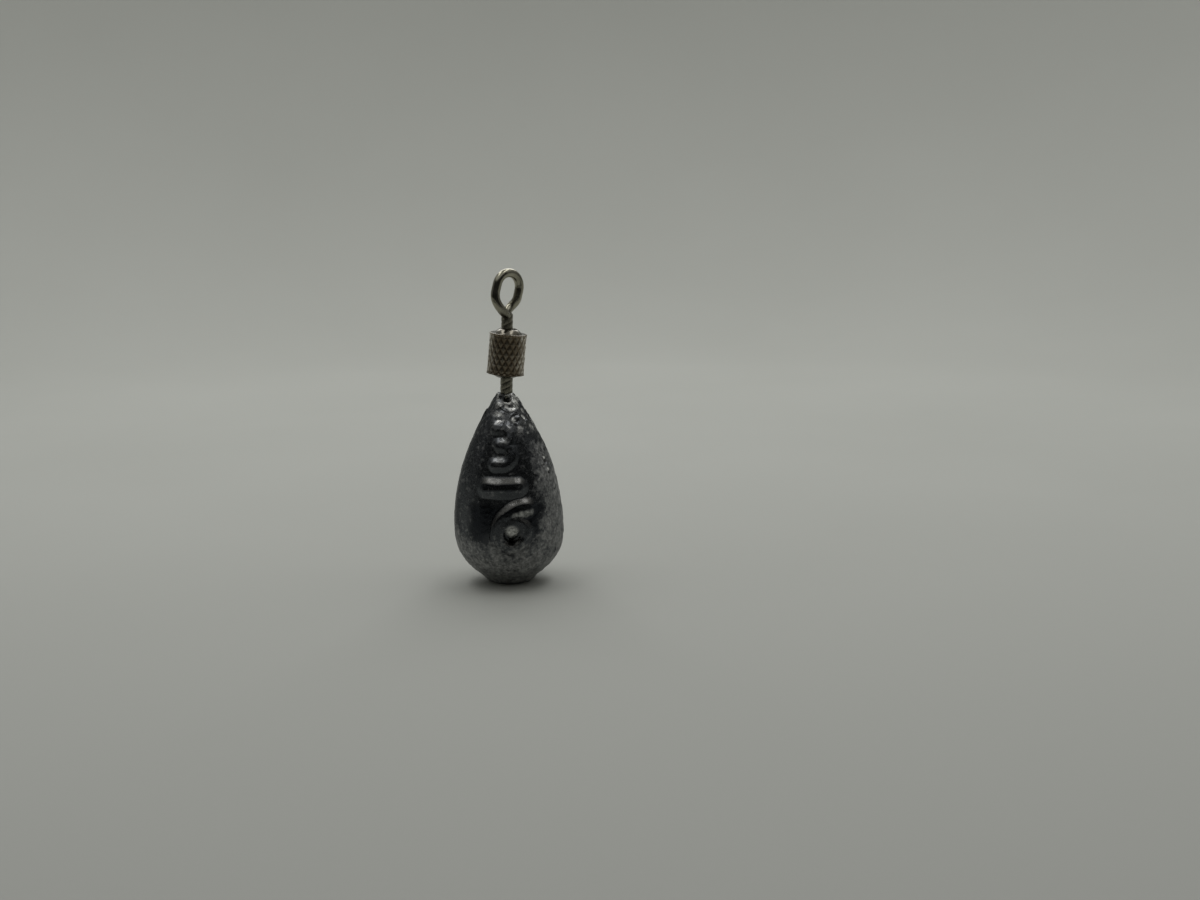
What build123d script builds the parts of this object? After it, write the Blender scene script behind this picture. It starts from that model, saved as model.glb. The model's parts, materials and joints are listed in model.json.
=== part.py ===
from build123d import *
import os
from math import acos, asin, degrees, pi, sqrt

# Lead body: a round bowl below its widest ring, a long taper above it, and a blunt nose
body_diameter = 8.3
taper_length = 9.78
shoulder_radius = 1.02
nose_length = 0.67
nose_land = 0.16

# Gate stub under the bowl, which the body stands on
foot_height = 0.33
foot_radius = 2.0
foot_face_radius = 1.6

# Raised weight mark on the front: 3 over a bar over 16
mark_height = 0.42
stroke_width = 1.06
three_base_height = 9.55
three_upper_gap = 0.12
three_lower_gap = 0.3
three_turn_x = -0.08
three_top_reach = 0.55
three_middle_reach = 0.25
three_low_reach = 0.8
bar_x = -0.15
bar_height = 7.9
bar_length = 3.9
bar_width = 1.6
one_x = -1.7
one_base_height = 4.2
one_length = 2.2
six_x = 0.36
six_height = 4.35
six_ring_radius = 1.03
six_stem_radius = 2.05
six_stem_angle = 92.0

# Swivel barrel: a knurled tube with both ends rolled in
barrel_diameter = 2.78
barrel_length = 3.16
barrel_wall = 0.3
end_dome_height = 0.26
end_thickness = 0.3
rim_land = 0.2
knurl_depth = 0.1
knurl_sink = 0.06
knurl_count = 16
knurl_rows = 6
knurl_fill_share = 0.9
knurl_crest_share = 0.4

# Wire eyes: an oval loop that narrows to its neck, a straight shank and a head that the barrel holds
wire_diameter = 0.68
loop_width = 2.86
loop_length = 3.24
loop_side_length = 0.36
shank_diameter = 0.86
upper_shank_length = 1.28
lower_shank_show = 1.23
limb_offset = 0.1
head_clearance = 0.24
head_rim = 0.3
head_length = 0.75
hole_clearance = 0.2
end_play = 0.12

# How the swivel sits: a little to +X and leaning there, the slack barrel leaning more, the loop turned
swivel_x = 0.09
swivel_lean = 2.2
barrel_lean = 6.2
upper_loop_turn = 42.0
neck_depth = 0.42

# Overrun of cutting shapes past what they cut
overrun = 1.0

# Worked out from the sizes above
body_radius = body_diameter / 2
equator_height = foot_height + sqrt(body_radius**2 - foot_radius**2)
taper_drop = body_radius - shoulder_radius
taper_arc_radius = (taper_drop**2 + taper_length**2) / (2 * taper_drop)
taper_angle = degrees(asin(taper_length / taper_arc_radius))
shoulder_height = equator_height + taper_length
nose_height = shoulder_height + nose_length
shank_radius = shank_diameter / 2
wire_radius = wire_diameter / 2
barrel_radius = barrel_diameter / 2
barrel_core_radius = barrel_radius - knurl_depth
barrel_end = barrel_length / 2 + end_dome_height
cavity_radius = barrel_core_radius - barrel_wall
cavity_end = barrel_end - end_thickness
head_radius = cavity_radius - head_clearance
hole_radius = shank_radius + hole_clearance
lower_shank_length = lower_shank_show + neck_depth


def meridian(*curves):
    """A closed half outline, with radius along X and height along Y, turned into a solid of revolution."""
    outline = Wire([edge for curve in curves for edge in curve.edges()])
    return revolve(Plane.XZ * make_face(outline), Axis.Z)


def taper_arc(grow):
    """The side of the body from its widest ring to its shoulder, moved outwards by grow."""
    center = (body_radius - taper_arc_radius, equator_height)
    return CenterArc(center, taper_arc_radius + grow, 0, taper_angle)


def plain_body():
    foot_angle = degrees(asin(sqrt(body_radius**2 - foot_radius**2) / body_radius))
    bowl = CenterArc((0, equator_height), body_radius, -foot_angle, foot_angle)
    side = taper_arc(0)
    nose_edge = (shank_radius + nose_land, nose_height)
    nose = TangentArc(side @ 1, nose_edge, tangent=side % 1)
    foot = Polyline((0, nose_height), (0, 0), (foot_face_radius, 0), bowl @ 0)
    return meridian(foot, bowl, side, nose, Line(nose_edge, (0, nose_height)))


def mark_limit():
    """The body's bowl and side grown by the height of the mark."""
    bowl = CenterArc((0, equator_height), body_radius + mark_height, -90, 90)
    side = taper_arc(mark_height)
    top = (0, (side @ 1).Y)
    return meridian(bowl, side, Polyline(side @ 1, top, bowl @ 0))


def straight_stroke(start, end, width):
    run = Vector(*end) - Vector(*start)
    angle = degrees(asin(run.Y / run.length))
    return Pos(*((Vector(*start) + Vector(*end)) / 2)) * SlotCenterToCenter(run.length, width, angle)


def half_ring(x, height, radius):
    outer = radius + stroke_width / 2
    ring = Circle(outer) - Circle(radius - stroke_width / 2)
    right_half = Pos(outer / 2, 0) * Rectangle(outer, 2 * outer)
    return Pos(x, height) * (ring & right_half)


def numeral_three():
    lower_radius = (stroke_width + three_lower_gap) / 2
    upper_radius = (stroke_width + three_upper_gap) / 2
    middle_height = three_base_height + 2 * lower_radius
    top_height = middle_height + 2 * upper_radius
    strokes = [
        half_ring(three_turn_x, three_base_height + lower_radius, lower_radius),
        half_ring(three_turn_x, middle_height + upper_radius, upper_radius),
    ]
    reaches = ((three_base_height, three_low_reach), (middle_height, three_middle_reach),
               (top_height, three_top_reach))
    for height, reach in reaches:
        strokes.append(straight_stroke((-reach, height), (three_turn_x, height), stroke_width))
    return strokes


def numeral_six():
    ring = Circle(six_ring_radius + stroke_width / 2) - Circle(six_ring_radius - stroke_width / 2)
    stem_center = (six_x + six_stem_radius - six_ring_radius, six_height)
    stem = CenterArc(stem_center, six_stem_radius, 180 - six_stem_angle, six_stem_angle)
    return [Pos(six_x, six_height) * ring, SlotArc(stem, stroke_width)]


def weight_mark():
    """The mark's outline pushed forwards through the front and cut off at its height above the surface."""
    half_bar = (bar_length - bar_width) / 2
    bar = straight_stroke((bar_x - half_bar, bar_height), (bar_x + half_bar, bar_height), bar_width)
    one = straight_stroke((one_x, one_base_height), (one_x, one_base_height + one_length), stroke_width)
    outline = Sketch() + [bar, one] + numeral_three() + numeral_six()
    block = extrude(Plane.XZ * outline, body_radius + mark_height + overrun)
    return block & mark_limit()


def knurl_diamond(radius, half_width, half_height):
    corners = ((half_width, 0), (0, half_height), (-half_width, 0), (0, -half_height))
    face = make_face(Polyline(*corners, close=True))
    return Plane(origin=(radius, 0, 0), x_dir=(0, 1, 0), z_dir=(1, 0, 0)) * face


def knurl():
    """Rows of flat-topped diamonds, each row turned by half a step from the last."""
    row_pitch = barrel_length / (knurl_rows + 1)
    half_height = row_pitch * knurl_fill_share
    half_width = pi * barrel_radius / knurl_count * knurl_fill_share
    root = knurl_diamond(barrel_core_radius - knurl_sink, half_width, half_height)
    crest = knurl_diamond(barrel_radius, half_width * knurl_crest_share, half_height * knurl_crest_share)
    diamond = loft([root, crest], ruled=True)
    step = 360 / knurl_count
    return [
        Pos(0, 0, row_pitch * (row + 1) - barrel_length / 2) * Rot(0, 0, step * (place + row / 2)) * diamond
        for row in range(knurl_rows)
        for place in range(knurl_count)
    ]


def end_dome(side):
    """A rolled-in end of the barrel, from its rim in to its hole: side is 1 at the top, -1 below."""
    foot = (barrel_core_radius - rim_land, side * barrel_length / 2)
    top = (hole_radius, side * barrel_end)
    lean_in = Vector(top[0] - foot[0], 2 * side * end_dome_height)
    return TangentArc(foot, top, tangent=lean_in)


def swivel_barrel():
    upper = end_dome(1)
    lower = end_dome(-1)
    rim = (barrel_core_radius, barrel_length / 2)
    wall = Polyline(lower @ 0, (rim[0], -rim[1]), rim, upper @ 0)
    shell = meridian(upper, Line(upper @ 1, lower @ 1), lower, wall)
    cavity = Cylinder(cavity_radius, 2 * cavity_end)
    return shell - cavity + knurl()


def wire_loop(neck_reach):
    """An oval loop of wire: each half is a limb from the neck, then an arc, a straight side and an arc."""
    arc_radius = (loop_width - wire_diameter) / 2
    top_height = neck_reach + loop_length - wire_radius - arc_radius
    low_height = top_height - loop_side_length
    reach = sqrt(limb_offset**2 + (low_height - neck_reach)**2)
    tangent_angle = degrees(asin(limb_offset / reach) + acos(arc_radius / reach)) - 90
    low_arc = CenterArc((0, low_height), arc_radius, tangent_angle, -tangent_angle)
    top_arc = CenterArc((0, top_height), arc_radius, 0, 90)
    limb = Line((limb_offset, neck_reach), low_arc @ 0)
    path = Plane.XZ * Wire([limb, low_arc, Line(low_arc @ 1, top_arc @ 0), top_arc])
    half = sweep(Plane(path @ 0, z_dir=path % 0) * Circle(wire_radius), path)
    return [half, mirror(half, Plane.YZ)]


def wire_eye(shank_length):
    """One eye with its loop up, on a swivel axis along Z whose zero is the middle of the barrel."""
    neck_reach = barrel_end + shank_length
    head_top = cavity_end - end_play
    head_low = head_top - head_length
    stem = Polyline(
        (0, head_low), (head_radius, head_low), (head_radius, head_low + head_rim), (shank_radius, head_top),
        (shank_radius, neck_reach), (0, neck_reach), close=True,
    )
    return meridian(stem) + wire_loop(neck_reach)


swivel_foot = Pos(swivel_x, 0, nose_height) * Rot(0, swivel_lean, 0)
swivel_seat = swivel_foot * Pos(0, 0, lower_shank_show + barrel_end)
upper_eye = swivel_seat * Rot(0, 0, upper_loop_turn) * wire_eye(upper_shank_length)
lower_eye = swivel_seat * Rot(180, 0, 0) * wire_eye(lower_shank_length)
barrel = swivel_seat * Rot(0, barrel_lean - swivel_lean, 0) * swivel_barrel()
lead_body = plain_body() + weight_mark() - lower_eye

nodes = {"lead_body": lead_body, "lower_eye": lower_eye, "swivel_barrel": barrel, "upper_eye": upper_eye}
os.makedirs("parts", exist_ok=True)
for name, solid in nodes.items():
    export_step(solid, f"parts/{name}.step")
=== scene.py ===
import json
from math import asin, cos, hypot, pi, radians, sin, sqrt, tau

import bpy
import numpy as np
from mathutils import Matrix, Vector, noise


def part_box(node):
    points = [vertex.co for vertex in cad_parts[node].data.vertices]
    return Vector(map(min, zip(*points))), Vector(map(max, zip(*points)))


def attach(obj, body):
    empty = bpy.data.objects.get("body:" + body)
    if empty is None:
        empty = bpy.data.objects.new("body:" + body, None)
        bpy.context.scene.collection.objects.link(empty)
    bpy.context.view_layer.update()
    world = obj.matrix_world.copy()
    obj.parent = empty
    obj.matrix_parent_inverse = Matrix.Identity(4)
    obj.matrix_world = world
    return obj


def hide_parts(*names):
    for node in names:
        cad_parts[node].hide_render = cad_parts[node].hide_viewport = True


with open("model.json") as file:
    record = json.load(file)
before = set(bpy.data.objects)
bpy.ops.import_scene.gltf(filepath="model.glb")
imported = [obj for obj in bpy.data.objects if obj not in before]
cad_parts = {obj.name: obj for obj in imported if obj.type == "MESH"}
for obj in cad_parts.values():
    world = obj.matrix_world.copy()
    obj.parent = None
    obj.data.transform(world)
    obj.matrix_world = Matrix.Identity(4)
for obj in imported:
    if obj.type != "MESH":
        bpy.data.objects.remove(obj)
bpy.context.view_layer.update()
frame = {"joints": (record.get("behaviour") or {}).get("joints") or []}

# Shapes are worked out in millimetres and scaled to metres when a mesh is made
MM = 0.001
# The mark faces -Y
FRONT_ANGLE = 1.5 * pi
# Each span in this file holds the two values between which a mask goes from 0 to 1

# Lead body: its outline follows the solid
lead_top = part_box("lead_body")[1] / MM
BODY_RADIUS = lead_top.x
NOSE_HEIGHT = lead_top.z
FOOT_HEIGHT = 0.33
FOOT_RADIUS = 2.0
FOOT_FACE_RADIUS = 1.6
SHOULDER_RADIUS = 1.02
NOSE_LENGTH = 0.67
NOSE_TOP_RADIUS = 0.59
POLE_RADIUS = 0.06
EQUATOR = FOOT_HEIGHT + sqrt(BODY_RADIUS**2 - FOOT_RADIUS**2)
SHOULDER = NOSE_HEIGHT - NOSE_LENGTH
# How far the bowl draws in above the stub: pairs of height and depth
BOWL_DRAW = (
    (0.3, 0), (0.36, 0.04), (0.45, 0.1), (0.62, 0.14),
    (0.88, 0.12), (1.44, 0.087), (1.98, 0.044), (2.5, 0),
)

# How many rings each stretch of the lead's outline has, and how many points a ring has
FACE_RINGS = 10
STUB_RINGS = 8
BOWL_RINGS = 62
TAPER_RINGS = 203
NOSE_RINGS = 16
TOP_RINGS = 8
LEAD_COLUMNS = 300
# A ring's points crowd on the front and at the parting lines: half widths and added weights
ANGLE_SAMPLES = 7200
CROWDED_FRONT = radians(72)
CROWDED_FRONT_WEIGHT = 2.6
CROWDED_PARTING = radians(4)
CROWDED_PARTING_WEIGHT = 3

# Weight mark: rounded ridges along strokes, placed by their middle lines on the front
RIDGE_HEIGHT = 0.35
RIDGE_FLAT_SHARE = 0.18
STROKE_HALF = 0.78
BAR_HALF = 0.86
BAR_ENDS = (-1.55, 0.88)
BAR_LEVEL = 7.9
THREE_HALF = 0.64
THREE_SHARE = 0.6
THREE_LEVELS = (9.55, 10.91, 12.09)
THREE_REACHES = (0.8, 0.42, 0.65)
THREE_TURN_X = -0.22
ONE_X = -1.7
ONE_LEVELS = (4.2, 6.4)
ONE_SHARE = 0.35
SIX_CENTER = (0.36, 4.35)
SIX_RING = 1.03
SIX_STEM = 2.05
SIX_STEM_END = radians(88)
SIX_ARM_GROWTH = 0.14
SIX_ARM_SPAN = (0, 1.3)
# The 6's counter is scooped out: pairs of height and lift
COUNTER_CENTER = (0.37, 4.5)
COUNTER_RADIUS = 0.58
COUNTER_EDGE_SHARES = (1.2, 0.8)
COUNTER_SCOOP = ((3.7, -0.3), (4.05, -0.15), (4.95, 0.34))

# Where the mark shows, where it is worn, and the masks that follow it
FRONT_SPAN = (-0.3, -1.2)
UNWORN_LEFT_SPAN = (-2.5, -1.2)
UNWORN_LOW_SPAN = (2.2, 4.0)
BELOW_THREE_SPAN = (9.1, 8.5)
SLOPE_STEP = 0.03
# Painted highlight, partly wear: the mark's upper flanks, which face the lamps above, are coloured lighter
RUB_AND_HIGHLIGHT_SLOPE_SPAN = (-0.22, -0.6)
FACE_SPAN = (0.82, 0.97)
NEAR_SPAN = (2.0, 0.9)
NEAR_FADE = 0.85
NEAR_FADE_LEFT_SPAN = (0.1, -1.3)
NEAR_FADE_UP_SPAN = (6.5, 7.3)

# Painted shade: a dark colour round the 6, less on its ring, and on the flat faces above it
PAINTED_SHADE_TOP_SPAN = (6.95, 6.3)
PAINTED_SHADE_LOW_SPAN = (3.2, 5.0)
RING_SHADE_LOSS = 0.85
RING_SHADE_LOSS_SPAN = (1, 0.4)
FACE_SHADE = 0.6
FACE_SHADE_SPAN = (5.6, 6.6)

# Oxide bloom, low down, on the right and on the back, and little of it near the mark
BLOOM_LOW_SPAN = (5.8, 1.8)
BLOOM_RIGHT = 0.75
BLOOM_RIGHT_SPAN = (0.9, 2.6)
BLOOM_RIGHT_UP_SPAN = (13, 9)
BLOOM_BACK = 0.6
BLOOM_BACK_SPAN = (0.5, 2.5)
BLOOM_LIMITS = (0.12, 1.1)
BLOOM_NEAR_LOSS = 0.9
BLOOM_NEAR_SPAN = (2.8, 5.2)

# Raw metal at the nose, broken up, and reaching lower on the right
RAW_UP_SPAN = (11.9, 12.9)
RAW_LOWER_RIGHT = 0.5
RAW_LOWER_RIGHT_SPAN = (0, 1)
RAW_LEFT_SPAN = (-1.2, -0.2)
RAW_BACK_SHIFT = 0.5
RAW_BROKEN_SPAN = (0.05, 0.4)
RAW_TOP_GAIN = 0.25
RAW_TOP_SPAN = (13.0, 13.6)
RAW_LEAST = 0.05

# Cast skin: height of the grit on bare lead, and how much more it has in full bloom
GRIT_LIFTS = {"grit": (0.006, 0.03), "fine_grit": (0.004, 0.014)}
COLLAR_LIFT = 0.08
COLLAR_SPAN = (13.4, 13.9)
FACET_SIZE = 0.4
FACET_LIFT = 0.11
FACET_LEAST = 0.02
FACET_SPREAD = 5.3
# Without a seed the tilts of the facets would differ from run to run
FACET_SEED = 3
STUB_SPAN = (FOOT_HEIGHT + 0.15, FOOT_HEIGHT - 0.1)
STUB_FACE_TOP = 0.02

# Flash along the parting lines: higher up the right side, with a step at the left of the nose
FLASH_HALF = 0.1
FLASH_LIFT = 0.03
FLASH_LOW_SPAN = (0.3, 0.8)
FLASH_CLEARANCE = 0.75
FLASH_RIGHT_LIFT = 0.03
FLASH_RIGHT_SPAN = (11.5, 13.2)
STEP_LIFT = 0.07
STEP_FOOT_SPAN = (12.2, 13.0)
STEP_TOP_SPAN = (13.35, 13.2)

# Pits in the lead: place on the surface, radius and depth
PITS = (
    ((0.32, -4.2, 3.84), 0.24, 0.3),
    ((0.15, -0.75, 14.2), 0.34, 0.3),
    ((2.82, -1.5, 9.95), 0.16, 0.14),
    ((2.95, -1.45, 9.45), 0.2, 0.2),
    ((2.72, -1.75, 9.2), 0.13, 0.12),
    ((3.15, -1.5, 8.6), 0.15, 0.1),
    ((-0.1, -3.4, 1.35), 0.2, 0.1),
    ((3.3, 1.7, 6.4), 0.17, 0.1),
    ((-1.4, 3.7, 4.9), 0.22, 0.12),
    ((0.9, 2.9, 9.0), 0.15, 0.1),
)
# Painted highlights: small spots of bright metal colour where glints and lit flanks show: place on the
# surface, radius and strength
GLINTS = (
    ((2.78, -1.4, 9.7), 0.16, 1.0),
    ((3.06, -1.5, 8.85), 0.14, 1.0),
    ((2.6, -1.9, 9.35), 0.1, 1.0),
    ((2.2, -2.2, 10.1), 0.12, 1.0),
    ((1.7, -1.6, 11.7), 0.14, 1.0),
    ((0.65, -3.99, 5.86), 0.3, 0.3),
    ((1.05, -3.9, 5.92), 0.3, 0.4),
    ((1.45, -3.77, 5.98), 0.3, 0.4),
    ((1.8, -3.62, 6.05), 0.26, 0.3),
    ((0.37, -4.12, 4.7), 0.46, 0.8),
    ((-0.05, -2.52, 11.2), 0.36, 0.22),
    ((-0.45, -3.06, 9.85), 0.46, 0.17),
)
SPOT_SPAN = (1.25, 0.35)

# Swivel barrel
KNURL_COUNT = 18
KNURL_PITCH = 0.82
KNURL_DEPTH = 0.05
KNURL_CREST = 0.35
KNURL_FLANK = 0.6
KNURL_LEAST = 0.85
BARREL_RADIUS = 1.39
BARREL_CORE = BARREL_RADIUS - KNURL_DEPTH
BARREL_RIMS = (-1.57, 1.49)
BARREL_END = 1.84
BARREL_WALL = 0.3
END_THICKNESS = 0.3
HOLE_RADIUS = 0.63
DOME_RADIUS = 1.04
DOME_CURVE = 0.3
DOME_EDGE = 0.1
RIM_ROUND = 0.02
LIP_ROUND = 0.04
BURR_LIFT = 0.05
BURR_SPAN = (0.2, 0.02)
# Painted shade on the barrel: between these shares of facing the front, the plating darkens
FRONT_SHADE_SPAN = (0.35, 0.95)
BARREL_COLUMNS = 340
BARREL_RINGS = 130
LAND_RINGS = 4
DOME_RINGS = 14
LIP_RINGS = 5
CAVITY_RINGS = 6

# Wire eyes: limbs says how each limb runs to the shank, by its pull at the loop and its end above the neck
UPPER_EYE = {
    "neck": BARREL_END + 0.98, "rise": 2.11, "tilt": radians(16), "radius": 0.43,
    "limbs": {1: (2.2, 0.12), -1: (3.9, -0.15)},
}
LOWER_EYE = {
    "neck": BARREL_END + 1.65, "rise": 1.81, "tilt": 0, "radius": 0.46,
    "limbs": {1: (1.7, 0.36), -1: (1.9, 0.23)},
}
LOOP_TURN = radians(42)
LOOP_ARC = 1.09
LOOP_SIDE = 0.5
LOOP_STEPS = 40
SIDE_STEPS = 12
LIMB_STEPS = 60
LIMB_END = (-0.05, 0.12)
LIMB_CROSSING = 0.2
WIRE_RADIUS = 0.34
WIRE_THINNING = 0.05
WIRE_THIN_SPAN = (0.1, 0.0)
WIRE_COLUMNS = 28
WIRE_END_SHARE = 0.3
TWIST_STARTS = 3
TWIST_LEAD = 1.35
TWIST_DEPTH = 0.02
TWIST_GAIN = 1.3
TWIST_POWER = 1.5
GROOVE_FADE = 0.2
NECK_FADE = (0.75, 0.1)
HEAD_RADIUS = 0.75
HEAD_RIM = 0.3
HEAD_LOW = 0.67
HEAD_TOP = 1.42
HEAD_ROUND = 0.06
HEAD_POLE = 0.05
SHANK_SWELL = 0.01
SHANK_START = HEAD_TOP + 0.1
SHANK_RINGS = 75
SHANK_COLUMNS = 60
# The shank's end above the neck: where its twist stops, its last ring and its tip
SHANK_STOP = 0.12
SHANK_LAST = 0.22
SHANK_LAST_RADIUS = 0.3
SHANK_TIP = 0.26

# Noise on the shapes and in their masks: strength, size of its lumps in millimetres, and seed
NOISE_LAYERS = {
    "mark_across": (0.05, 0.7, 21.0),
    "mark_up": (0.05, 0.7, 22.0),
    "mark_wear": (0.12, 0.9, 23.0),
    "mark_edge": (0.35, 1.1, 24.0),
    "mark_grit": (0.012, 0.25, 14.0),
    "bloom_patches": (0.35, 1.1, 3.0),
    "bloom_edge": (0.6, 0.8, 16.0),
    "painted_shade_edge": (0.5, 0.8, 15.0),
    "raw_edge": (0.3, 0.9, 8.0),
    "raw_breaks": (1, 0.45, 31.0),
    "nose_lumps": (0.06, 0.5, 2.0),
    "dents": (0.05, 3.1, 1.0),
    "grit": (1, 0.36, 5.0),
    "fine_grit": (1, 0.16, 6.0),
    "flash": (0.02, 0.6, 4.0),
    "stub_side": (0.07, 0.9, 11.0),
    "stub_face": (0.04, 0.5, 12.0),
    "knurl_wear": (0.3, 0.5, 41.0),
    "front_shade_edge": (0.2, 0.8, 42.0),
}
SEED_SHIFT = (1, 1.7, -2.3)


def smooth_step(low, high, value):
    share = np.clip((value - low) / (high - low), 0, 1)
    return share * share * (3 - 2 * share)


def noise_at(points, layer):
    """Smooth noise at each point, from minus to plus the layer's strength."""
    strength, size, seed = NOISE_LAYERS[layer]
    shift = Vector([share * seed for share in SEED_SHIFT])
    return strength * np.array([noise.noise(Vector(p) / size + shift) for p in points])


def arc_points(center, radius, start, end, count):
    angles = np.linspace(start, end, count)
    return np.stack([center[0] + radius * np.cos(angles), center[1] + radius * np.sin(angles)], axis=1)


def line_points(start, end, count):
    return np.linspace(start, end, count)


def ring_points(radius, height, angles):
    return np.stack([radius * np.cos(angles), radius * np.sin(angles), height + 0 * angles], axis=1)


def even_angles(columns):
    return np.arange(columns) * tau / columns


# Meshes


def grid_faces(rings, columns, wrap=False):
    """Quads between rings of points that run upwards, each ring counter-clockwise from above."""
    faces = []
    for ring in range(rings if wrap else rings - 1):
        low = ring * columns
        high = (ring + 1) % rings * columns
        for column in range(columns):
            after = (column + 1) % columns
            faces.append((low + column, low + after, high + after, high + column))
    return faces


def cap_faces(rings, columns):
    """Triangles that close the first and last ring on the two points that follow the rings."""
    first = rings * columns
    top = (rings - 1) * columns
    faces = []
    for column in range(columns):
        after = (column + 1) % columns
        faces.append((first, after, column))
        faces.append((top + column, top + after, first + 1))
    return faces


def make_piece(name, points, faces, place=Matrix()):
    """A smooth mesh object from points in millimetres, moved to its place."""
    mesh = bpy.data.meshes.new(name)
    mesh.from_pydata([tuple(p) for p in points], [], faces)
    mesh.transform(Matrix.Scale(MM, 4) @ place)
    mesh.polygons.foreach_set("use_smooth", [True] * len(mesh.polygons))
    piece = bpy.data.objects.new(name, mesh)
    bpy.context.scene.collection.objects.link(piece)
    return piece


def give_attribute(piece, name, values):
    attribute = piece.data.attributes.new(name, "FLOAT", "POINT")
    attribute.data.foreach_set("value", np.asarray(values, np.float32))


def joint_place(name):
    """Where a joint's axis sits, in millimetres: Z along the axis, zero at the middle of the barrel."""
    joint = next(j for j in frame["joints"] if j["name"] == name)
    lean = Vector((0, 0, 1)).rotation_difference(Vector(joint["axis"]))
    return Matrix.Translation(Vector(joint["pos_m"]) / MM) @ lean.to_matrix().to_4x4()


# Lead body


def lead_outline():
    """Radius and height from the middle of the foot's face to the middle of the nose's top."""
    drop = BODY_RADIUS - SHOULDER_RADIUS
    rise = SHOULDER - EQUATOR
    side = (drop**2 + rise**2) / (2 * drop)
    lean = asin(rise / side)
    foot_angle = asin((FOOT_HEIGHT - EQUATOR) / BODY_RADIUS)
    start = np.array([SHOULDER_RADIUS, SHOULDER])
    end = np.array([NOSE_TOP_RADIUS, NOSE_HEIGHT])
    corner = start + np.array([-sin(lean), cos(lean)]) * NOSE_LENGTH / 2
    t = np.linspace(0, 1, NOSE_RINGS)[:, None]
    nose = (1 - t)**2 * start + 2 * t * (1 - t) * corner + t**2 * end
    stretches = [
        line_points((POLE_RADIUS, 0), (FOOT_FACE_RADIUS, 0), FACE_RINGS),
        line_points((FOOT_FACE_RADIUS, 0), (FOOT_RADIUS, FOOT_HEIGHT), STUB_RINGS)[1:],
        arc_points((0, EQUATOR), BODY_RADIUS, foot_angle, 0, BOWL_RINGS)[1:],
        arc_points((BODY_RADIUS - side, EQUATOR), side, 0, lean, TAPER_RINGS)[1:],
        nose[1:],
        line_points(end, (POLE_RADIUS, NOSE_HEIGHT), TOP_RINGS)[1:],
    ]
    return np.concatenate(stretches)


def lead_angles():
    """Angles round the body, closer together on the front and at the two parting lines."""
    fine = np.linspace(0, tau, ANGLE_SAMPLES, endpoint=False)
    from_front = np.abs((fine - FRONT_ANGLE + pi) % tau - pi)
    from_parting = np.abs((fine + pi / 2) % pi - pi / 2)
    weight = 1 + CROWDED_FRONT_WEIGHT * (from_front < CROWDED_FRONT)
    weight = weight + CROWDED_PARTING_WEIGHT * (from_parting < CROWDED_PARTING)
    total = np.concatenate([[0], np.cumsum(weight)])
    wanted = np.arange(LEAD_COLUMNS) * total[-1] / LEAD_COLUMNS
    return np.interp(wanted, total, np.append(fine, tau))


def lead_surface():
    """The outline turned round its axis: its points, and the directions that face out of them."""
    outline = lead_outline()
    angles = lead_angles()
    along = np.gradient(outline, axis=0)
    along /= np.linalg.norm(along, axis=1)[:, None]
    points = [ring_points(radius, height, angles) for radius, height in outline]
    normals = [ring_points(climb, -spread, angles) for spread, climb in along]
    return np.concatenate(points), np.concatenate(normals)


def to_segment(x, z, start, end):
    run = np.subtract(end, start)
    share = np.clip(((x - start[0]) * run[0] + (z - start[1]) * run[1]) / run.dot(run), 0, 1)
    return np.hypot(x - start[0] - share * run[0], z - start[1] - share * run[1])


def to_arc(x, z, center, radius, start, end):
    """Distance to an arc that runs counter-clockwise from one angle to the other."""
    angle = (np.arctan2(z - center[1], x - center[0]) - start) % tau
    tips = arc_points(center, radius, start, end, 2)
    to_tips = np.minimum(*[np.hypot(x - tip_x, z - tip_z) for tip_x, tip_z in tips])
    to_circle = np.abs(np.hypot(x - center[0], z - center[1]) - radius)
    return np.where(angle <= end - start, to_circle, to_tips)


def to_ring(x, z):
    """Distance to the 6's ring, as a share of its half width."""
    return to_arc(x, z, SIX_CENTER, SIX_RING, 0, tau) / STROKE_HALF


def mark_strokes(x, z):
    """Bar, 6 and 3: distance as a share of the half width, and share of the mark's height."""
    stem_center = (SIX_CENTER[0] + SIX_STEM - SIX_RING, SIX_CENTER[1])
    arm_half = STROKE_HALF + SIX_ARM_GROWTH * smooth_step(*SIX_ARM_SPAN, x)
    bar = to_segment(x, z, (BAR_ENDS[0], BAR_LEVEL), (BAR_ENDS[1], BAR_LEVEL)) / BAR_HALF
    arm = to_arc(x, z, stem_center, SIX_STEM, SIX_STEM_END, pi) / arm_half
    three = [to_segment(x, z, (-reach, level), (THREE_TURN_X, level))
             for level, reach in zip(THREE_LEVELS, THREE_REACHES)]
    for low, high in zip(THREE_LEVELS, THREE_LEVELS[1:]):
        middle = (THREE_TURN_X, (low + high) / 2)
        three.append(to_arc(x, z, middle, (high - low) / 2, -pi / 2, pi / 2))
    three = np.minimum.reduce(three) / THREE_HALF
    return [(bar, 1.0), (to_ring(x, z), 1.0), (arm, 1.0), (three, THREE_SHARE)]


def ridge_share(x, z):
    """Share of the mark's height at a place on the front: flat along the strokes, with soft sides."""
    bare = np.ones(len(x))
    for share, height in mark_strokes(x, z):
        bare *= 1 - height * smooth_step(1, RIDGE_FLAT_SHARE, share)
    return 1 - bare


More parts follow.
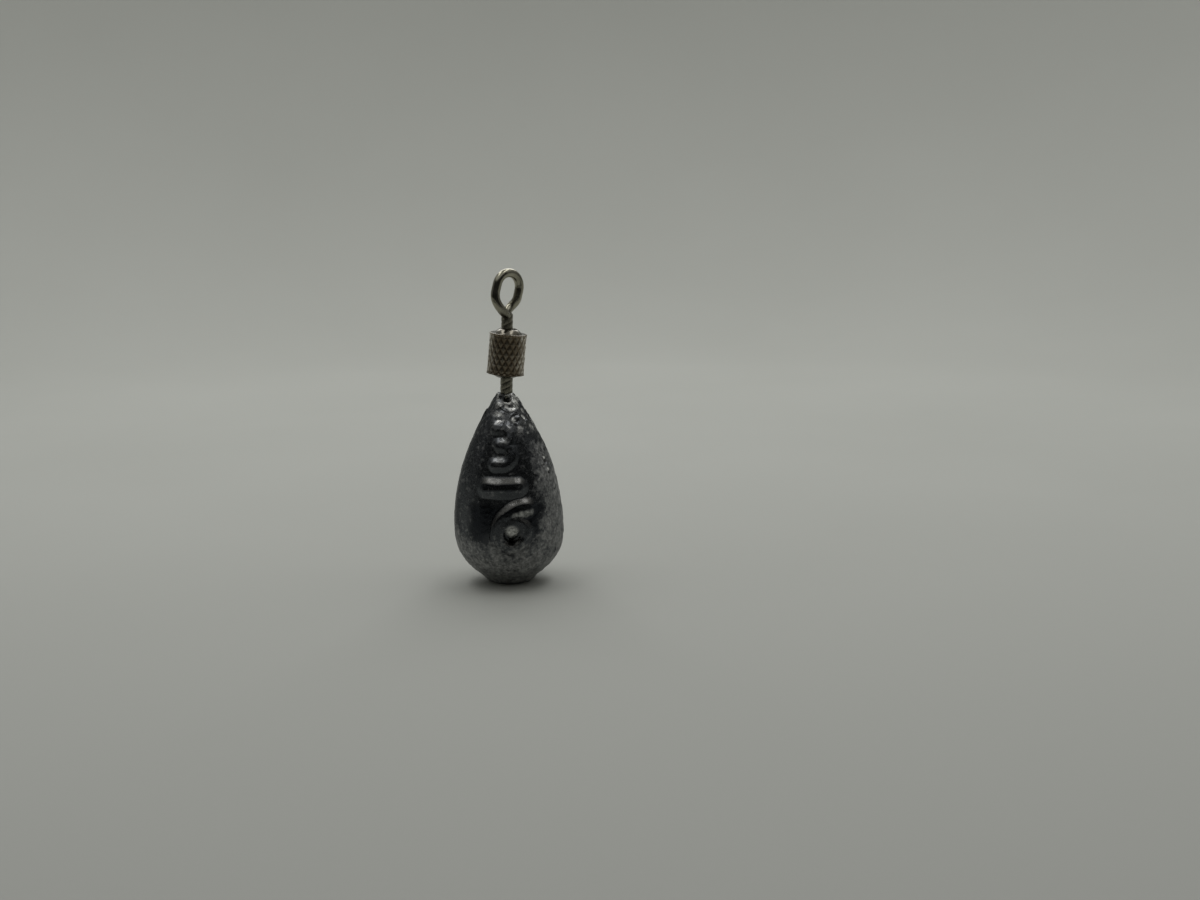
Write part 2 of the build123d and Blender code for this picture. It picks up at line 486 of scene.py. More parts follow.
def mark_relief(points):
    """The mark's lift, and masks of what is near it, of its upper flanks, which get a painted highlight, and
    of its flat faces, which get painted shade.
    """
    x, y, z = points.T
    x = x + noise_at(points, "mark_across")
    z = z + noise_at(points, "mark_up")
    front = smooth_step(*FRONT_SPAN, y)
    below_three = smooth_step(*BELOW_THREE_SPAN, z)
    worn = smooth_step(*UNWORN_LEFT_SPAN, x) * smooth_step(*UNWORN_LOW_SPAN, z)
    worn *= 1 + noise_at(points, "mark_wear")
    one = to_segment(x, z, (ONE_X, ONE_LEVELS[0]), (ONE_X, ONE_LEVELS[1])) / STROKE_HALF
    ridges = ridge_share(x, z)
    lift = RIDGE_HEIGHT * np.maximum(ridges * worn, ONE_SHARE * smooth_step(1, 0, one)) * front
    slope = RIDGE_HEIGHT * (ridge_share(x, z + SLOPE_STEP) - ridges) / SLOPE_STEP * worn
    # Upper flanks: painted highlight, partly wear
    rub_and_highlight = smooth_step(*RUB_AND_HIGHLIGHT_SLOPE_SPAN, slope) * front * below_three
    from_counter = np.hypot(x - COUNTER_CENTER[0], z - COUNTER_CENTER[1]) / COUNTER_RADIUS
    inside = smooth_step(*COUNTER_EDGE_SHARES, from_counter)
    scoop = np.interp(z, *zip(*COUNTER_SCOOP))
    lift = np.where(y < 0, lift + inside * (scoop - lift), 0)
    reach = np.minimum.reduce([share for share, height in mark_strokes(x, z)] + [one])
    near = smooth_step(*NEAR_SPAN, reach + noise_at(points, "mark_edge")) * front
    near *= 1 - NEAR_FADE * smooth_step(*NEAR_FADE_LEFT_SPAN, x) * smooth_step(*NEAR_FADE_UP_SPAN, z)
    face = smooth_step(*FACE_SPAN, ridges) * front * below_three
    return lift, near, rub_and_highlight, face


# Painted shade round the 6 and on the mark's flat faces above it
def painted_shade_mask(points, near, face):
    x, y, z = points.T
    painted_shade = near * smooth_step(*PAINTED_SHADE_TOP_SPAN, z)
    painted_shade *= smooth_step(*PAINTED_SHADE_LOW_SPAN, z + noise_at(points, "painted_shade_edge"))
    painted_shade *= 1 - RING_SHADE_LOSS * smooth_step(*RING_SHADE_LOSS_SPAN, to_ring(x, z))
    return np.maximum(painted_shade, FACE_SHADE * face * smooth_step(*FACE_SHADE_SPAN, z))


def spots_at(points, places):
    """A mask of round spots, each a place, its radius and its strength."""
    mask = np.zeros(len(points))
    for place, reach, strength in places:
        distance = np.linalg.norm(points - np.array(place), axis=1) / reach
        mask = np.maximum(mask, strength * smooth_step(*SPOT_SPAN, distance))
    return mask


def lead_masks(points, near):
    """Where the lead has oxide bloom, bright bare metal at its nose and painted highlights at glints, and how
    far its nose counts as bare metal.
    """
    x, y, z = points.T
    low = smooth_step(*BLOOM_LOW_SPAN, z)
    right = BLOOM_RIGHT * smooth_step(*BLOOM_RIGHT_SPAN, x) * smooth_step(*BLOOM_RIGHT_UP_SPAN, z)
    back = BLOOM_BACK * smooth_step(*BLOOM_BACK_SPAN, y)
    bloom = np.maximum.reduce([low, right, back]) + noise_at(points, "bloom_patches")
    bloom = np.clip(bloom, *BLOOM_LIMITS)
    bloom *= 1 - BLOOM_NEAR_LOSS * near * smooth_step(*BLOOM_NEAR_SPAN, z + noise_at(points, "bloom_edge"))
    raised = z + noise_at(points, "raw_edge") + RAW_LOWER_RIGHT * smooth_step(*RAW_LOWER_RIGHT_SPAN, x)
    nose = smooth_step(*RAW_UP_SPAN, raised) * smooth_step(*RAW_LEFT_SPAN, x - RAW_BACK_SHIFT * (y > 0))
    breaks = noise_at(points, "raw_breaks") + RAW_TOP_GAIN * smooth_step(*RAW_TOP_SPAN, z)
    raw_and_glint = nose * (RAW_LEAST + (1 - RAW_LEAST) * smooth_step(*RAW_BROKEN_SPAN, breaks))
    return bloom, np.maximum(raw_and_glint, spots_at(points, GLINTS)), nose


def nose_facets(points):
    """Small tilted faces, as on lead that froze against the gate: one plane for each cell."""
    noise.seed_set(FACET_SEED)
    heights = []
    for point in points:
        place = Vector(point) / FACET_SIZE
        center = noise.voronoi(place)[1][0]
        heights.append(noise.noise_vector(center * FACET_SPREAD).dot(place - center))
    return np.array(heights)


def skin_relief(points, bloom, near, nose):
    """Dents and grit of the cast skin, the collar round the shank, and the nose's lumps and facets."""
    x, y, z = points.T
    lift = noise_at(points, "dents") * (1 - smooth_step(*STUB_SPAN, z))
    for layer, (bare, bloomed) in GRIT_LIFTS.items():
        lift += (bare + bloomed * bloom) * noise_at(points, layer)
    lift += near * noise_at(points, "mark_grit")
    lift += COLLAR_LIFT * smooth_step(*COLLAR_SPAN, z) * (np.hypot(x, y) > SHOULDER_RADIUS / 2)
    lift += nose * noise_at(points, "nose_lumps")
    chosen = nose > FACET_LEAST
    lift[chosen] += FACET_LIFT * nose[chosen] * nose_facets(points[chosen])
    return lift


def flash_relief(points):
    """The thin ridge that the mould's halves left along the parting lines."""
    x, y, z = points.T
    step = smooth_step(*STEP_TOP_SPAN, z) * smooth_step(*STEP_FOOT_SPAN, z) * (x < 0)
    right = smooth_step(*FLASH_RIGHT_SPAN, z) * (x > 0)
    height = FLASH_LIFT + STEP_LIFT * step + FLASH_RIGHT_LIFT * right + noise_at(points, "flash")
    across = np.clip(1 - (y / FLASH_HALF)**2, 0, 1)
    return height * across * smooth_step(*FLASH_LOW_SPAN, z) * (np.hypot(x, y) > FLASH_CLEARANCE)


def foot_relief(points):
    """The stub's uneven side and dented face, and the bowl's draw-in above it."""
    z = points[:, 2]
    dented = -np.abs(noise_at(points, "stub_face"))
    uneven = np.where(z > STUB_FACE_TOP, noise_at(points, "stub_side"), dented)
    return smooth_step(*STUB_SPAN, z) * uneven - np.interp(z, *zip(*BOWL_DRAW))


def lead_shape():
    """The lead's points, lifted off its plain surface, and the masks that its material reads."""
    points, normals = lead_surface()
    lift, near, rub_and_highlight, face = mark_relief(points)
    bloom, raw_and_glint, nose = lead_masks(points, near)
    lift += skin_relief(points, bloom, near, nose) + flash_relief(points) + foot_relief(points)
    lift -= spots_at(points, PITS)
    masks = {
        "bloom": bloom,
        "raw_and_glint": raw_and_glint,
        # Where the pits are, for their painted shade
        "pit_shade": spots_at(points, [(place, reach, 1.0) for place, reach, depth in PITS]),
        "near": near,
        "painted_shade": painted_shade_mask(points, near, face),
        "rub_and_highlight": rub_and_highlight,
    }
    return points + normals * lift[:, None], masks


def lead_piece():
    points, masks = lead_shape()
    rings = len(points) // LEAD_COLUMNS
    poles = [points[:LEAD_COLUMNS].mean(axis=0), points[-LEAD_COLUMNS:].mean(axis=0)]
    faces = grid_faces(rings, LEAD_COLUMNS) + cap_faces(rings, LEAD_COLUMNS)
    piece = make_piece("cast_lead", np.concatenate([points, poles]), faces)
    for name, values in masks.items():
        give_attribute(piece, name, np.concatenate([values, [0, 0]]))
    return piece


# Swivel barrel


def knurl_height(angle, height):
    """Share of the knurl's depth: worn diamonds between two sets of grooves."""
    turn = KNURL_COUNT * angle / tau
    climb = height / KNURL_PITCH
    walls = [np.abs((turn + side * climb) % 1 - 0.5) * 2 for side in (-1, 1)]
    return 1 - np.clip((np.maximum(*walls) - KNURL_CREST) / KNURL_FLANK, 0, 1)


def barrel_end(rim):
    """Radius and height from a rim over the rolled-in end and through the hole to the cavity's middle."""
    foot, top = np.array([DOME_RADIUS, rim]), np.array([HOLE_RADIUS, BARREL_END])
    turn = np.linspace(0, pi / 2, DOME_RINGS)[:, None]
    curved = np.concatenate([1 - np.cos(turn), np.sin(turn)], axis=1)
    straight = turn / turn[-1] * (1, 1)
    inner_end = BARREL_END - END_THICKNESS
    cavity = BARREL_CORE - BARREL_WALL
    return np.concatenate([
        line_points((BARREL_CORE - RIM_ROUND, rim + RIM_ROUND), (DOME_RADIUS + RIM_ROUND, rim), LAND_RINGS),
        foot + (top - foot) * (DOME_CURVE * curved + (1 - DOME_CURVE) * straight),
        line_points((HOLE_RADIUS, BARREL_END - LIP_ROUND), (HOLE_RADIUS, inner_end), LIP_RINGS),
        line_points((cavity, inner_end), (cavity, 0), CAVITY_RINGS),
    ])


def barrel_piece():
    angles = even_angles(BARREL_COLUMNS)
    low_rim, high_rim = BARREL_RIMS
    ends = np.concatenate([barrel_end(high_rim), barrel_end(-low_rim)[::-1][1:] * (1, -1)])
    rings, crests = [], []
    for height in np.linspace(low_rim, high_rim, BARREL_RINGS):
        burr = BURR_LIFT * smooth_step(*BURR_SPAN, min(height - low_rim, high_rim - height))
        wear = KNURL_LEAST + noise_at(ring_points(1, height, angles), "knurl_wear")
        knurl = knurl_height(angles, height) * wear
        rings.append(ring_points(BARREL_CORE + KNURL_DEPTH * knurl + burr, height, angles))
        crests.append(knurl)
    for radius, height in ends:
        rings.append(ring_points(radius, height, angles))
        crests.append(np.ones(BARREL_COLUMNS))
    points = np.concatenate(rings)
    faces = grid_faces(len(rings), BARREL_COLUMNS, wrap=True)
    piece = make_piece("knurled_barrel", points, faces, joint_place("barrel_spin"))
    rolled = np.repeat([0.0] * BARREL_RINGS + [1.0] * len(ends), BARREL_COLUMNS)
    from_axis = np.hypot(points[:, 0], points[:, 1])
    # Painted shade: the plating is darkened on the side that faces the front
    facing = -points[:, 1] / from_axis + noise_at(points, "front_shade_edge")
    give_attribute(piece, "crest", np.concatenate(crests))
    give_attribute(piece, "rolled", rolled)
    give_attribute(piece, "dome", rolled * smooth_step(DOME_RADIUS + DOME_EDGE, DOME_RADIUS, from_axis))
    give_attribute(piece, "front_shade", smooth_step(*FRONT_SHADE_SPAN, facing))
    return piece


# Wire eyes


def hermite(start, leave, end, arrive, count):
    t = np.linspace(0, 1, count)[:, None]
    return ((2 * t**3 - 3 * t**2 + 1) * start + (t**3 - 2 * t**2 + t) * leave
            + (3 * t**2 - 2 * t**3) * end + (t**3 - t**2) * arrive)


def loop_limb(side, neck, rise, tilt, limbs):
    """From the top of the loop down one limb, past the other limb and into the shank: side is 1 or -1."""
    top = neck + rise
    middle = top - LOOP_SIDE / 2
    outline = np.concatenate([
        arc_points((0, top), LOOP_ARC, pi / 2, 0, LOOP_STEPS),
        line_points((LOOP_ARC, top), (LOOP_ARC, top - LOOP_SIDE), SIDE_STEPS)[1:],
    ])
    x, z = side * outline[:, 0], outline[:, 1] - middle
    bend = np.stack([x * cos(tilt) + z * sin(tilt), 0 * x, z * cos(tilt) - x * sin(tilt) + middle], axis=1)
    pull, above = limbs[side]
    leave = pull * np.array([-sin(tilt), 0, -cos(tilt)])
    end = np.array([LIMB_END[0] * side, LIMB_END[1] * side, neck + above])
    limb = hermite(bend[-1], leave, end, np.array([-side, 0, -1]), LIMB_STEPS)
    limb[:, 1] += LIMB_CROSSING * side * np.sin(np.linspace(0, pi, LIMB_STEPS))**2
    return np.concatenate([bend, limb[1:]])


def tube(path, radii):
    """A closed tube of changing radius along a path, with its frame carried along without twist."""
    tangents = np.gradient(path, axis=0)
    tangents /= np.linalg.norm(tangents, axis=1)[:, None]
    aside = np.cross(tangents[0], (0, 1, 0))
    angles = even_angles(WIRE_COLUMNS)
    rings = []
    for point, along, radius in zip(path, tangents, radii):
        aside = aside - along * aside.dot(along)
        aside /= np.linalg.norm(aside)
        up = np.cross(along, aside)
        rings.append(point + radius * (np.outer(np.cos(angles), aside) + np.outer(np.sin(angles), up)))
    poles = [path[0] - tangents[0] * radii[0] * WIRE_END_SHARE,
             path[-1] + tangents[-1] * radii[-1] * WIRE_END_SHARE]
    faces = grid_faces(len(path), WIRE_COLUMNS) + cap_faces(len(path), WIRE_COLUMNS)
    return np.concatenate(rings + [poles]), faces


def shank(neck, radius):
    """The head and the twisted shank, on the eye's axis: strands wound together."""
    angles = even_angles(SHANK_COLUMNS)
    profile = [
        (HEAD_POLE, HEAD_LOW), (HEAD_RADIUS - HEAD_ROUND, HEAD_LOW), (HEAD_RADIUS, HEAD_LOW + HEAD_ROUND),
        (HEAD_RADIUS, HEAD_LOW + HEAD_RIM), (radius, HEAD_TOP),
    ]
    for height in np.linspace(SHANK_START, neck + SHANK_STOP, SHANK_RINGS):
        strand = np.abs(np.sin(TWIST_STARTS / 2 * (angles - tau * height / TWIST_LEAD)))
        depth = TWIST_DEPTH * smooth_step(SHANK_START, BARREL_END, height)
        groove = depth * (1 - strand)**TWIST_POWER * TWIST_GAIN
        profile.append((radius + SHANK_SWELL - groove, height))
    profile.append((SHANK_LAST_RADIUS, neck + SHANK_LAST))
    rings = [ring_points(reach, height, angles) for reach, height in profile]
    poles = [(0, 0, HEAD_LOW), (0, 0, neck + SHANK_TIP)]
    faces = grid_faces(len(rings), SHANK_COLUMNS) + cap_faces(len(rings), SHANK_COLUMNS)
    return np.concatenate(rings + [poles]), faces


def fuse(piece, other):
    """Joins the other piece's solid to the first, and removes the other."""
    joining = piece.modifiers.new("join", "BOOLEAN")
    joining.operation = "UNION"
    joining.solver = "EXACT"
    joining.object = other
    joining.use_self = True
    made = bpy.data.meshes.new_from_object(piece.evaluated_get(bpy.context.evaluated_depsgraph_get()))
    piece.modifiers.clear()
    piece.data = made
    bpy.data.objects.remove(other)


def wire_eye(name, place, neck, rise, tilt, radius, limbs):
    """One eye: loop and shank joined, built at a thousand times its size so that the joining is exact."""
    right, left = (loop_limb(side, neck, rise, tilt, limbs) for side in (1, -1))
    path = np.concatenate([right[::-1], left[1:]])
    from_start = np.linspace(0, 1, len(path))
    thinned = smooth_step(*WIRE_THIN_SPAN, np.minimum(from_start, 1 - from_start))
    enlarged = Matrix.Scale(1 / MM, 4)
    piece = make_piece(name, *tube(path, WIRE_RADIUS - WIRE_THINNING * thinned), enlarged)
    fuse(piece, make_piece(name + "_stem", *shank(neck, radius), enlarged))
    heights = np.array([v.co.z for v in piece.data.vertices])
    from_axis = np.array([hypot(v.co.x, v.co.y) for v in piece.data.vertices])
    groove = smooth_step(radius, radius - TWIST_DEPTH, from_axis)
    give_attribute(piece, "groove", groove * smooth_step(neck, neck - GROOVE_FADE, heights))
    give_attribute(piece, "neck", smooth_step(*[neck + above for above in NECK_FADE], heights))
    piece.data.transform(Matrix.Scale(MM, 4) @ place)
    return piece


# Materials: colours as written, and the spans of noise that choose between them
SOFT_SPAN = (0.3, 0.7)
FIRM_SPAN = (0.35, 0.65)
LEAD_SPECULAR_TINT = (0.4, 0.4, 0.4, 1)
LEAD_SKIN = ((0.066, 0.07, 0.075), (0.1, 0.105, 0.111))
LEAD_NEAR_MARK = (0.064, 0.068, 0.073)
# Painted shade round the 6
LEAD_PAINTED_SHADE = (0.022, 0.024, 0.028)
LEAD_OXIDE = ((0.16, 0.162, 0.162), (0.42, 0.42, 0.41))
# Lighter colour of the mark's upper flanks: painted highlight, partly wear
LEAD_RUB_AND_HIGHLIGHT = (0.105, 0.104, 0.1)
# Bright bare metal at the nose, and the painted highlights at glints
LEAD_RAW_AND_GLINT = ((0.3, 0.3, 0.29), (0.86, 0.86, 0.83))
# Painted shade: near black inside the pits
LEAD_PIT_SHADE = (0.01, 0.01, 0.01)
PLATING_GROOVE = (0.18, 0.145, 0.1)
PLATING_CREST = ((0.35, 0.329, 0.278), (0.62, 0.589, 0.517))
# Painted highlights: near-white plating on some crests, for glints
PAINTED_SPARKLE = (0.88, 0.85, 0.77)
# Painted shade: darker, browner plating on the side that faces the front
FRONT_SHADE_GROOVE = (0.12, 0.092, 0.06)
FRONT_SHADE_CREST = ((0.15, 0.133, 0.102), (0.3, 0.272, 0.218))
ROLLED_END = ((0.07, 0.06, 0.046), (0.13, 0.12, 0.099))
WIRE_BRIGHT = ((0.255, 0.242, 0.188), (0.355, 0.34, 0.271))
WIRE_DULL = ((0.12, 0.114, 0.089), (0.26, 0.249, 0.198))
WIRE_GROOVE = (0.09, 0.082, 0.064)
PAPER = ((0.42, 0.427, 0.4), (0.44, 0.447, 0.42))
PAPER_SHADE = (0.43, 0.436, 0.41)
PAPER_FRONT_SPAN = (0.05, -0.06)
PAPER_WALL_SPAN = (0.0, 0.02)
MATT = 0.9
CARD_TONE_SHARES = (0.9, 1.1)


class Shader:
    """A material with a Principled shader, built from nodes that are linked by name."""

    def __init__(self, name):
        self.material = bpy.data.materials.new(name)
        self.material.use_nodes = True
        self.nodes = self.material.node_tree.nodes
        self.links = self.material.node_tree.links
        self.surface = self.nodes["Principled BSDF"]
        self.place = self.nodes.new("ShaderNodeTexCoord").outputs["Object"]

    def link(self, source, target):
        self.links.new(source, target)

    def set(self, name, value):
        self.surface.inputs[name].default_value = value

    def feed(self, name, source):
        self.link(source, self.surface.inputs[name])

    def noise(self, size, detail=2.0, rough=0.5, warp=0.0):
        """Noise with lumps about size millimetres across."""
        node = self.nodes.new("ShaderNodeTexNoise")
        self.link(self.place, node.inputs["Vector"])
        node.inputs["Scale"].default_value = 1 / (size * MM)
        node.inputs["Detail"].default_value = detail
        node.inputs["Roughness"].default_value = rough
        node.inputs["Distortion"].default_value = warp
        return node.outputs["Fac"]

    def along(self, axis):
        """The place along X, Y or Z, in metres."""
        node = self.nodes.new("ShaderNodeSeparateXYZ")
        self.link(self.place, node.inputs["Vector"])
        return node.outputs[axis]

    def mask(self, name):
        node = self.nodes.new("ShaderNodeAttribute")
        node.attribute_name = name
        return node.outputs["Fac"]

    def span(self, source, low, high, to_low=0.0, to_high=1.0):
        """A value moved from one range to another, and held inside it."""
        node = self.nodes.new("ShaderNodeMapRange")
        self.link(source, node.inputs["Value"])
        for name, value in zip(("From Min", "From Max", "To Min", "To Max"), (low, high, to_low, to_high)):
            node.inputs[name].default_value = value
        return node.outputs["Result"]

    def math(self, operation, first, second):
        node = self.nodes.new("ShaderNodeMath")
        node.operation = operation
        for socket, value in zip(node.inputs, (first, second)):
            if isinstance(value, (int, float)):
                socket.default_value = value
            else:
                self.link(value, socket)
        return node.outputs["Value"]

    def mix(self, share, first, second):
        """A colour between two, each a colour or a node's output."""
        node = self.nodes.new("ShaderNodeMix")
        node.data_type = "RGBA"
        self.link(share, node.inputs["Factor"])
        for name, value in (("A", first), ("B", second)):
            socket = next(s for s in node.inputs if s.name == name and s.type == "RGBA")
            if isinstance(value, tuple):
                socket.default_value = (*value, 1)
            else:
                self.link(value, socket)
        return next(s for s in node.outputs if s.type == "RGBA")

    def bump(self, height, depth, strength):
        """A bump of so many millimetres."""
        node = self.nodes.new("ShaderNodeBump")
        node.inputs["Distance"].default_value = depth * MM
        node.inputs["Strength"].default_value = strength
        self.link(height, node.inputs["Height"])
        self.feed("Normal", node.outputs["Normal"])


def lead_material():
    """Dull dark lead: smooth blue-grey skin, lighter mottled oxide, bright bare metal at the nose, painted
    shade round the 6 and in pits, painted highlights on the mark's upper flanks and at glints.
    """
    shader = Shader("cast_lead")
    shader.set("Specular Tint", LEAD_SPECULAR_TINT)
    grain = shader.noise(size=0.2, detail=4.0, rough=0.6)
    # Less oxide where shade is painted, so it stays dark
    bare = shader.math("MULTIPLY", shader.mask("painted_shade"), 0.1)
    cover = shader.math("SUBTRACT", shader.math("MULTIPLY", shader.mask("bloom"), 0.3), bare)
    mottle = shader.noise(size=0.36, detail=5.0, rough=0.66, warp=0.3)
    spots = shader.span(shader.math("ADD", mottle, cover), low=0.56, high=0.88)
    skin = shader.mix(shader.span(grain, *SOFT_SPAN), *LEAD_SKIN)
    shaded = shader.mix(shader.mask("near"), skin, LEAD_NEAR_MARK)
    # Painted shade round the 6 and on the flat faces above it
    with_painted_shade = shader.mix(shader.mask("painted_shade"), shaded, LEAD_PAINTED_SHADE)
    oxide = shader.mix(shader.span(grain, *FIRM_SPAN), *LEAD_OXIDE)
    # Painted highlight, partly wear, on the mark's upper flanks
    mottled = shader.mix(shader.mask("rub_and_highlight"), shader.mix(spots, with_painted_shade, oxide), LEAD_RUB_AND_HIGHLIGHT)
    raw_and_glint = shader.mix(shader.span(grain, low=0.35, high=0.6), *LEAD_RAW_AND_GLINT)
    # Bright metal at the nose and painted highlights at glints
    worn = shader.mix(shader.mask("raw_and_glint"), mottled, raw_and_glint)
    # Painted shade: near black inside the pits
    shader.feed("Base Color", shader.mix(shader.mask("pit_shade"), worn, LEAD_PIT_SHADE))
    shader.feed("Metallic", shader.span(spots, low=0.0, high=1.0, to_low=0.94, to_high=0.15))
    shine = shader.span(grain, low=0.25, high=0.75, to_low=0.22, to_high=0.32)
    shader.feed("Roughness", shader.math("ADD", shine, shader.math("MULTIPLY", spots, 0.2)))
    shader.bump(shader.noise(size=0.1, detail=5.0, rough=0.65), depth=0.02, strength=0.35)
    return shader.material


def barrel_material():
    """Plating: brown in the grooves, bright on the crests with near-white painted highlights on some, darker
    and browner as painted shade on the side that faces the front, dark on the rolled ends.
    """
    shader = Shader("barrel_plating")
    shader.set("Metallic", 1.0)
    patches = shader.noise(size=0.9, detail=3.0, rough=0.55)
    grain = shader.noise(size=0.12, detail=3.0, rough=0.6)
    bright = shader.span(patches, *FIRM_SPAN, to_low=0.3, to_high=1.0)
    crest = shader.math("MULTIPLY", shader.mask("crest"), bright)
    tone = shader.mix(shader.span(grain, *SOFT_SPAN), *PLATING_CREST)
    patchy = shader.mix(shader.span(grain, *SOFT_SPAN), *FRONT_SHADE_CREST)
    # Painted highlights: near-white spots on some crests
    glint_patches = shader.span(shader.noise(size=0.26), low=0.46, high=0.6)
    painted_sparkle = shader.math("MULTIPLY", shader.mask("crest"), glint_patches)
    unshaded = shader.mix(painted_sparkle, shader.mix(crest, PLATING_GROOVE, tone), PAINTED_SPARKLE)
    # Painted shade on the side that faces the front
    lattice = shader.mix(shader.mask("front_shade"), unshaded, shader.mix(crest, FRONT_SHADE_GROOVE, patchy))
    rolled = shader.mix(shader.mask("dome"), *ROLLED_END)
    shader.feed("Base Color", shader.mix(shader.mask("rolled"), lattice, rolled))
    shine = shader.span(grain, *SOFT_SPAN, to_low=0.26, to_high=0.42)
    polish = shader.math("MULTIPLY", shader.mask("rolled"), 0.16)
    shader.feed("Roughness", shader.math("SUBTRACT", shine, polish))
    shader.bump(grain, depth=0.008, strength=0.3)
    return shader.material


def wire_material():
    """Warm bright plating on drawn wire, dull and dark where the strands wind together."""
    shader = Shader("wire_plating")
    shader.set("Metallic", 1.0)
    patchy = shader.noise(size=0.7, detail=3.0, rough=0.55)
    grain = shader.noise(size=0.09, detail=3.0, rough=0.6)
    bright = shader.mix(shader.span(patchy, *FIRM_SPAN), *WIRE_BRIGHT)
    dull = shader.mix(shader.span(grain, *FIRM_SPAN), *WIRE_DULL)
    wire = shader.mix(shader.mask("neck"), bright, dull)
    shader.feed("Base Color", shader.mix(shader.mask("groove"), wire, WIRE_GROOVE))
    shine = shader.span(patchy, *SOFT_SPAN, to_low=0.12, to_high=0.24)
    wear = shader.math("MULTIPLY", shader.mask("neck"), 0.14)
    shader.feed("Roughness", shader.math("ADD", shine, wear))
    shader.bump(grain, depth=0.006, strength=0.2)
    return shader.material


def paper_material():
    """Pale paper, faintly uneven, that turns to one even tone towards the front and up the wall."""
    shader = Shader("pale_paper")
    shader.set("Roughness", MATT)
    shader.set("Specular IOR Level", 0.1)
    paper = shader.mix(shader.span(shader.noise(size=40, detail=3.0), *SOFT_SPAN), *PAPER)
    front = shader.span(shader.along("Y"), *PAPER_FRONT_SPAN)
    wall = shader.span(shader.along("Z"), *PAPER_WALL_SPAN, to_low=0.0, to_high=0.2)
    shader.feed("Base Color", shader.mix(shader.math("MAXIMUM", front, wall), paper, PAPER_SHADE))
    return shader.material


def card_material(name, tone):
    shader = Shader(name)
    shader.set("Roughness", MATT)
    low, high = ((share * tone,) * 3 for share in CARD_TONE_SHARES)
    shader.feed("Base Color", shader.mix(shader.noise(size=20), low, high))
    return shader.material


# Stage, light and camera, in metres
FLOOR_REACH = 0.115
FLOOR_POLE = 0.001
FLOOR_COLUMNS = 160
COVE_RADIUS = 0.09
COVE_STEPS = 40
WALL_TOP = 0.092
CARD_RADIUS = 0.16
CARD_FOOT_RADIUS = 0.07
CARD_FOOT_HEIGHT = 0.0005
CARD_HEIGHTS = (0.008, 0.15)
CARD_COLUMNS = 40
FRONT_ARC = (radians(-78), radians(72))
SIDE_ARCS = ((radians(-125), radians(-78)), (radians(72), radians(125)))
FRONT_TONE = 0.025
SIDE_TONE = 0.26
TOP_LIGHTS = ((-0.085, 0.05, 0.25), (0.085, 0.05, 0.25))
TOP_LIGHT_SIZE = (0.06, 0.2)
TOP_LIGHT_POWER = 0.1
BACK_LIGHT = (0, 0.25, 0.2)
BACK_LIGHT_SIZE = (0.3, 0.15)
BACK_LIGHT_POWER = 0.35
WORLD_TONE = (0.45, 0.454, 0.437)
CAMERA_DISTANCE = 0.1343
CAMERA_HEIGHT = 0.0353
CAMERA_AZIMUTH = radians(2.6)
CAMERA_YAW = radians(3.01)
CAMERA_PITCH = radians(10.71)
CAMERA_ROLL = radians(1.17)
CAMERA_CLIP = 0.001
LENS = 54
SENSOR_WIDTH = 36


def stage_piece(name, points, faces, material):
    piece = make_piece(name, np.array(points) / MM, faces)
    piece.data.materials.append(material)
    return piece


def build_card(name, arc, edges, tone):
    """A card bent round the part between two edges, each a radius and a height, hidden from the camera."""
    angles = np.linspace(*arc, CARD_COLUMNS)
    points = [(r * sin(a), -r * cos(a), z) for r, z in edges for a in angles]
    faces = [(i, i + 1, i + CARD_COLUMNS + 1, i + CARD_COLUMNS) for i in range(CARD_COLUMNS - 1)]
    card = stage_piece(name, points, faces, card_material(name, tone))
    card.visible_camera = False
    return card


def only_reflected(card):
    card.visible_diffuse = False
    card.visible_shadow = False


def build_stage():
    """A pale round floor that curves up into a wall, dark cards in front and grey cards at the sides."""
    angles = even_angles(FLOOR_COLUMNS)
    cove = arc_points((FLOOR_REACH, COVE_RADIUS), COVE_RADIUS, -pi / 2, 0, COVE_STEPS)
    outline = np.concatenate([[(FLOOR_POLE, 0)], cove, [(FLOOR_REACH + COVE_RADIUS, WALL_TOP)]])
    points = [(r * cos(a), r * sin(a), z) for r, z in outline for a in angles] + [(0, 0, 0)]
    faces = [face[::-1] for face in grid_faces(len(outline), FLOOR_COLUMNS)]
    middle = len(points) - 1
    faces += [(middle, column, (column + 1) % FLOOR_COLUMNS) for column in range(FLOOR_COLUMNS)]
    stage_piece("floor", points, faces, paper_material())
    upright = [(CARD_RADIUS, height) for height in CARD_HEIGHTS]
    lying = [(radius, CARD_FOOT_HEIGHT) for radius in (CARD_FOOT_RADIUS, CARD_RADIUS)]
    build_card("dark_card", FRONT_ARC, upright, FRONT_TONE)
    only_reflected(build_card("lying_card", FRONT_ARC, lying, FRONT_TONE))
    for side, arc in zip(("left", "right"), SIDE_ARCS):
        only_reflected(build_card(side + "_card", arc, upright, SIDE_TONE))


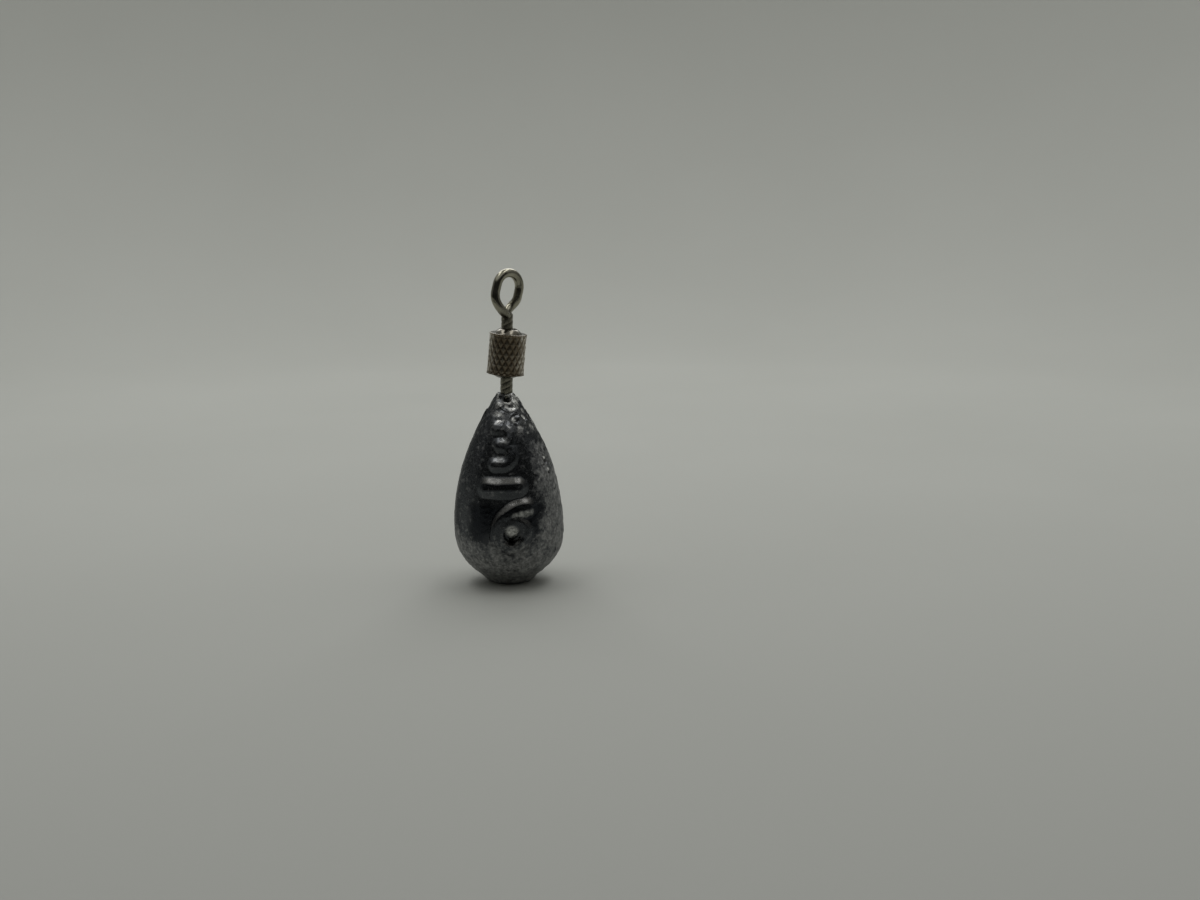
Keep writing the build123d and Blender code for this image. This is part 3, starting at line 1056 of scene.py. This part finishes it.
def build_lamp(name, place, size, power):
    lamp = bpy.data.lights.new(name, "AREA")
    lamp.shape = "RECTANGLE"
    lamp.size, lamp.size_y = size
    lamp.energy = power
    holder = bpy.data.objects.new(name, lamp)
    holder.location = place
    bpy.context.scene.collection.objects.link(holder)
    return holder


def build_light():
    """Two soft boxes overhead, one from behind, and an even pale surround."""
    for place in TOP_LIGHTS:
        build_lamp("top_box", place, TOP_LIGHT_SIZE, TOP_LIGHT_POWER)
    behind = build_lamp("back_box", BACK_LIGHT, BACK_LIGHT_SIZE, BACK_LIGHT_POWER)
    behind.rotation_euler = Vector(BACK_LIGHT).to_track_quat("Z", "Y").to_euler()
    world = bpy.data.worlds.new("pale_world")
    world.use_nodes = True
    world.node_tree.nodes["Background"].inputs["Color"].default_value = (*WORLD_TONE, 1)
    bpy.context.scene.world = world


def build_camera():
    lens = bpy.data.cameras.new("camera")
    lens.lens = LENS
    lens.sensor_width = SENSOR_WIDTH
    lens.clip_start = CAMERA_CLIP
    camera = bpy.data.objects.new("camera", lens)
    bpy.context.scene.collection.objects.link(camera)
    camera.location = (
        CAMERA_DISTANCE * sin(CAMERA_AZIMUTH), -CAMERA_DISTANCE * cos(CAMERA_AZIMUTH), CAMERA_HEIGHT,
    )
    heading = Matrix.Rotation(CAMERA_AZIMUTH - CAMERA_YAW, 4, "Z")
    tilt = Matrix.Rotation(pi / 2 - CAMERA_PITCH, 4, "X")
    camera.rotation_euler = (heading @ tilt @ Matrix.Rotation(-CAMERA_ROLL, 4, "Z")).to_euler()
    bpy.context.scene.camera = camera


def dress(piece, material, body, node):
    piece.data.materials.append(material)
    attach(piece, body)
    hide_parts(node)


seat = joint_place("eye_spin")
lower_seat = seat @ Matrix.Rotation(pi, 4, "X")
upper_seat = seat @ Matrix.Rotation(LOOP_TURN, 4, "Z")
wire = wire_material()
dress(lead_piece(), lead_material(), "sinker", "lead_body")
dress(wire_eye("cast_in_eye", lower_seat, **LOWER_EYE), wire, "sinker", "lower_eye")
dress(wire_eye("line_eye", upper_seat, **UPPER_EYE), wire, "eye", "upper_eye")
dress(barrel_piece(), barrel_material(), "barrel", "swivel_barrel")

build_stage()
build_light()
build_camera()
bpy.context.scene.view_settings.view_transform = "Standard"
